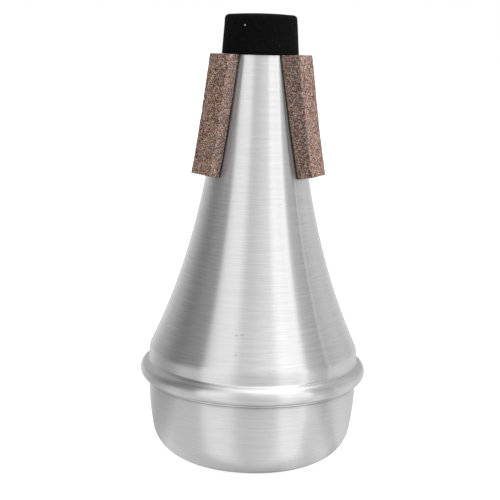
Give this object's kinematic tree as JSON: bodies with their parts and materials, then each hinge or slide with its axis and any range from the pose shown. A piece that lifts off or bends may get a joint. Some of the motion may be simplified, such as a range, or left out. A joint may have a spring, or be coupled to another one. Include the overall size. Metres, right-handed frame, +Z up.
{
  "type": "trumpet mute",
  "caption": "Straight trumpet mute: a spun metal cone and base cup joined by a rolled bead, cork strips on the neck and a pull-out foam plug.",
  "frame": {"origin": "centre of the flat bottom of the base cup, on the axis of the mute", "axes": "+Z up the axis from the base cup to the neck and plug; -Y is the front, midway between the two front cork strips; +X to the right of it"},
  "size_m": [0.0762, 0.0762, 0.1482],
  "materials": {
    "spun_aluminium": "bare aluminium with fine rings left by spinning and brushing",
    "cup_aluminium": "bare aluminium, brushed round, a little more matt than the cone",
    "sealant": "grey sealing compound",
    "cork": "pressed cork granules, reddish brown, matt",
    "glue": "thin dark contact glue",
    "foam": "black closed-cell foam, matt"
  },
  "bodies": {
    "mute": {"cone_body": "spun_aluminium", "base_cup": "cup_aluminium", "joint_sealant": "sealant", "cork_left": "cork", "cork_right": "cork", "cork_rear": "cork", "glue_left": "glue", "glue_right": "glue", "glue_rear": "glue"},
    "plug": {"end_plug": "foam"}
  },
  "joints": [
    {"name": "plug_pull", "type": "slide", "parent": "mute", "child": "plug", "axis": [0, 0, 1], "range_m": [0, 0.02]}
  ]
}
